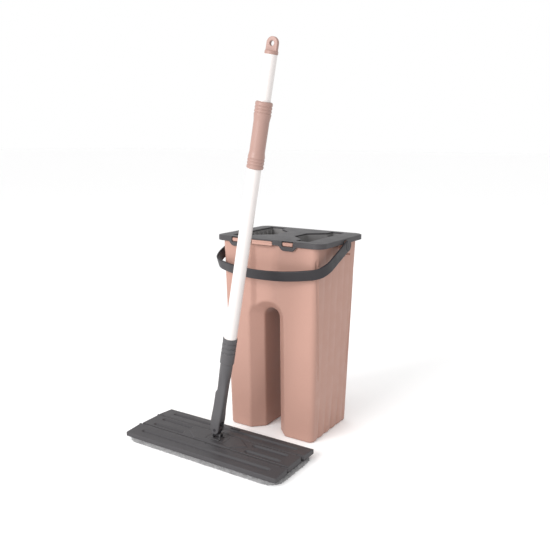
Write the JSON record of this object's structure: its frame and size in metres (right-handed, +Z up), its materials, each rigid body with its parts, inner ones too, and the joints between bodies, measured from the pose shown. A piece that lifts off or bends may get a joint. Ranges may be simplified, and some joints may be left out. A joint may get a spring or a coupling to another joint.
{
  "type": "flat squeeze mop and wringing bucket",
  "caption": "Flat mop with hinged plate, microfibre pad and telescopic pole, beside an upright two-legged bucket with a slotted lid, inner wringer and bail handle.",
  "frame": {"origin": "middle of the set's footprint, on the floor", "axes": "+Z up, +X along the mop plate and the bucket's width, +Y from the mop to the bucket"},
  "size_m": [0.329, 0.3224, 0.696],
  "materials": {
    "pink_plastic": "dusty pink polypropylene, satin",
    "dark_plastic": "dark grey moulded plastic, satin",
    "frame_plastic": "grey moulded plastic, satin",
    "black_plastic": "near black moulded plastic, satin",
    "socket_plastic": "grey moulded plastic, satin",
    "pale_plastic": "pale grey plastic",
    "black_rubber": "soft black rubber",
    "steel": "plain steel",
    "hook_tape": "hook tape",
    "microfibre": "grey microfibre loops",
    "white_tube": "white lacquer, gloss",
    "pink_grip": "dusty pink plastic, satin"
  },
  "bodies": {
    "bucket": {"bucket_shell": "pink_plastic"},
    "lid": {"lid_cover": "dark_plastic", "wash_frame": "frame_plastic", "wring_frame": "frame_plastic", "scraper_blade": "pale_plastic", "scraper_lip": "black_rubber", "roller_axles": "steel", "frame_screws": "steel"},
    "roller_front": {"guide_roller_front": "pale_plastic"},
    "roller_back": {"guide_roller_back": "pale_plastic"},
    "bail": {"bail_handle": "black_plastic"},
    "mop_head": {"center_panel": "dark_plastic", "hinge_rod_front": "dark_plastic", "hinge_rod_back": "dark_plastic", "hook_strips_center": "hook_tape", "pad_center": "microfibre", "joint_base": "dark_plastic", "base_screws": "steel", "tilt_pin": "steel"},
    "flap_front": {"front_flap": "dark_plastic", "hook_strip_front": "hook_tape", "pad_front": "microfibre"},
    "flap_back": {"back_flap": "dark_plastic", "hook_strip_back": "hook_tape", "pad_back": "microfibre"},
    "yoke": {"cross_block": "black_plastic"},
    "handle": {"fork_pin": "black_plastic", "pole_socket": "socket_plastic", "socket_collar": "socket_plastic", "tube_pin": "steel", "lower_tube": "white_tube", "hand_grip": "pink_grip"},
    "bush": {"lock_bush": "black_plastic"},
    "upper_pole": {"lock_core": "pale_plastic", "core_screw": "steel", "upper_tube": "white_tube", "hanging_cap": "pink_grip"}
  },
  "joints": [
    {"name": "lid_lift", "type": "slide", "parent": "bucket", "child": "lid", "axis": [0, 0, 1], "range_m": [0, 0.2]},
    {"name": "bail_swing", "type": "hinge", "parent": "bucket", "child": "bail", "pos_m": [0.044, 0.08525, 0.359], "axis": [-1, 0, 0], "range_deg": [0, 226]},
    {"name": "roller_front_spin", "type": "hinge", "parent": "lid", "child": "roller_front", "pos_m": [0.0925, 0.01675, 0.35], "axis": [0, 1, 0], "continuous": true},
    {"name": "roller_back_spin", "type": "hinge", "parent": "lid", "child": "roller_back", "pos_m": [0.0925, 0.13775, 0.35], "axis": [0, 1, 0], "continuous": true},
    {"name": "mop_lift", "type": "slide", "parent": "bucket", "child": "mop_head", "axis": [0, 0, 1], "range_m": [0, 0.25]},
    {"name": "front_flap_fold", "type": "hinge", "parent": "mop_head", "child": "flap_front", "pos_m": [0, -0.12175, 0.0152], "axis": [-1, 0, 0], "range_deg": [0, 30]},
    {"name": "back_flap_fold", "type": "hinge", "parent": "mop_head", "child": "flap_back", "pos_m": [0, -0.07175, 0.0152], "axis": [1, 0, 0], "range_deg": [0, 30]},
    {"name": "head_tilt", "type": "hinge", "parent": "mop_head", "child": "yoke", "pos_m": [0, -0.09675, 0.026], "axis": [1, 0, 0], "range_deg": [-5, 45]},
    {"name": "pole_tilt", "type": "hinge", "parent": "yoke", "child": "handle", "pos_m": [0, -0.09675, 0.038], "axis": [0, 1, 0], "range_deg": [-100, 80]},
    {"name": "pole_extend", "type": "slide", "parent": "handle", "child": "bush", "axis": [0.1736, 0, 0.9848], "range_m": [0, 0.3]},
    {"name": "pole_twist", "type": "hinge", "parent": "bush", "child": "upper_pole", "pos_m": [0.03508, -0.09675, 0.23693], "axis": [0.1736, 0, 0.9848], "range_deg": [0, 120]}
  ]
}
